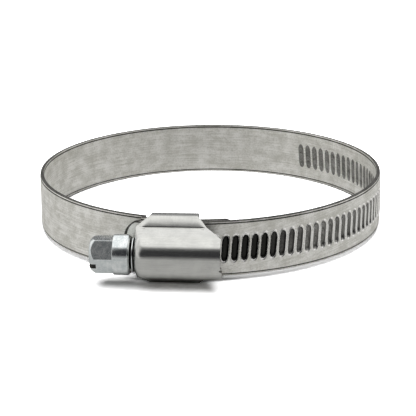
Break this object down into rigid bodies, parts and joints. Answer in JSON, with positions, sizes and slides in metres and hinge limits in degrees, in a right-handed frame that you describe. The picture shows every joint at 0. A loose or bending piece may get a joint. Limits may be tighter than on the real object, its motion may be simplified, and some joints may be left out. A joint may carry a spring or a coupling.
{
  "type": "hose clamp",
  "caption": "Worm-drive hose clamp: a slotted steel band, a pressed housing and a hexagon-head worm screw that tightens the ring round a hose.",
  "frame": {"origin": "centre of the clamped bore, at the middle of the band's width, with the clamp fully open", "axes": "+Z along the hose, -Y towards the housing, +X along the screw from its head to its tip"},
  "size_m": [0.0778, 0.0885, 0.0146],
  "materials": {
    "band": "rolled stainless strip, satin, with fine lengthwise lines",
    "housing": "pressed stainless sheet, polished satin",
    "screw": "bright zinc plate, slightly blue"
  },
  "bodies": {
    "housing": {"housing": "housing", "band_root": "band"},
    "screw": {"screw": "screw"},
    "band_thread": {"band_thread": "band"},
    "band_link_01": {"band_link_01": "band"},
    "band_link_02": {"band_link_02": "band"},
    "band_link_03": {"band_link_03": "band"},
    "band_link_04": {"band_link_04": "band"},
    "band_link_05": {"band_link_05": "band"},
    "band_link_06": {"band_link_06": "band"},
    "band_link_07": {"band_link_07": "band"},
    "band_link_08": {"band_link_08": "band"},
    "band_link_09": {"band_link_09": "band"},
    "band_link_10": {"band_link_10": "band"},
    "band_link_11": {"band_link_11": "band"},
    "band_link_12": {"band_link_12": "band"}
  },
  "joints": [
    {"name": "band_feed", "type": "hinge", "parent": "housing", "child": "band_thread", "pos_m": [-0.003, 0.00125, 0], "axis": [0, 0, -1], "range_deg": [0, 48]},
    {"name": "screw_turn", "type": "hinge", "parent": "housing", "child": "screw", "pos_m": [-0.003, -0.04465, 0], "axis": [1, 0, 0], "range_deg": [0, 6029.27]},
    {"name": "bend_01", "type": "hinge", "parent": "band_thread", "child": "band_link_01", "pos_m": [0.0346, -0.01571, 0], "axis": [0, 0, 1], "range_deg": [0, 4.3]},
    {"name": "bend_02", "type": "hinge", "parent": "band_link_01", "child": "band_link_02", "pos_m": [0.038, 0.0003, 0], "axis": [0, 0, 1], "range_deg": [0, 3.97]},
    {"name": "bend_03", "type": "hinge", "parent": "band_link_02", "child": "band_link_03", "pos_m": [0.03435, 0.01624, 0], "axis": [0, 0, 1], "range_deg": [0, 3.64]},
    {"name": "bend_04", "type": "hinge", "parent": "band_link_03", "child": "band_link_04", "pos_m": [0.02434, 0.02918, 0], "axis": [0, 0, 1], "range_deg": [0, 3.45]},
    {"name": "bend_05", "type": "hinge", "parent": "band_link_04", "child": "band_link_05", "pos_m": [0.01122, 0.0363, 0], "axis": [0, 0, 1], "range_deg": [0, 3.41]},
    {"name": "bend_06", "type": "hinge", "parent": "band_link_05", "child": "band_link_06", "pos_m": [-0.00363, 0.03783, 0], "axis": [0, 0, 1], "range_deg": [0, 3.47]},
    {"name": "bend_07", "type": "hinge", "parent": "band_link_06", "child": "band_link_07", "pos_m": [-0.01792, 0.03351, 0], "axis": [0, 0, 1], "range_deg": [0, 3.6]},
    {"name": "bend_08", "type": "hinge", "parent": "band_link_07", "child": "band_link_08", "pos_m": [-0.02945, 0.02401, 0], "axis": [0, 0, 1], "range_deg": [0, 3.8]},
    {"name": "bend_09", "type": "hinge", "parent": "band_link_08", "child": "band_link_09", "pos_m": [-0.03643, 0.01081, 0], "axis": [0, 0, 1], "range_deg": [0, 4.08]},
    {"name": "bend_10", "type": "hinge", "parent": "band_link_09", "child": "band_link_10", "pos_m": [-0.03778, -0.00406, 0], "axis": [0, 0, 1], "range_deg": [0, 4.44]},
    {"name": "bend_11", "type": "hinge", "parent": "band_link_10", "child": "band_link_11", "pos_m": [-0.0333, -0.0183, 0], "axis": [0, 0, 1], "range_deg": [0, 4.83]},
    {"name": "bend_12", "type": "hinge", "parent": "band_link_11", "child": "band_link_12", "pos_m": [-0.02368, -0.02972, 0], "axis": [0, 0, 1], "range_deg": [0, 5.12]}
  ],
  "couplings": [
    {"joint": "screw_turn", "follows": "band_feed", "ratio": 125.59},
    {"joint": "bend_01", "follows": "band_feed", "ratio": 0.08938},
    {"joint": "bend_02", "follows": "band_feed", "ratio": 0.08246},
    {"joint": "bend_03", "follows": "band_feed", "ratio": 0.07562},
    {"joint": "bend_04", "follows": "band_feed", "ratio": 0.07175},
    {"joint": "bend_05", "follows": "band_feed", "ratio": 0.0709},
    {"joint": "bend_06", "follows": "band_feed", "ratio": 0.07217},
    {"joint": "bend_07", "follows": "band_feed", "ratio": 0.07484},
    {"joint": "bend_08", "follows": "band_feed", "ratio": 0.0789},
    {"joint": "bend_09", "follows": "band_feed", "ratio": 0.08474},
    {"joint": "bend_10", "follows": "band_feed", "ratio": 0.09236},
    {"joint": "bend_11", "follows": "band_feed", "ratio": 0.10051},
    {"joint": "bend_12", "follows": "band_feed", "ratio": 0.10637}
  ]
}
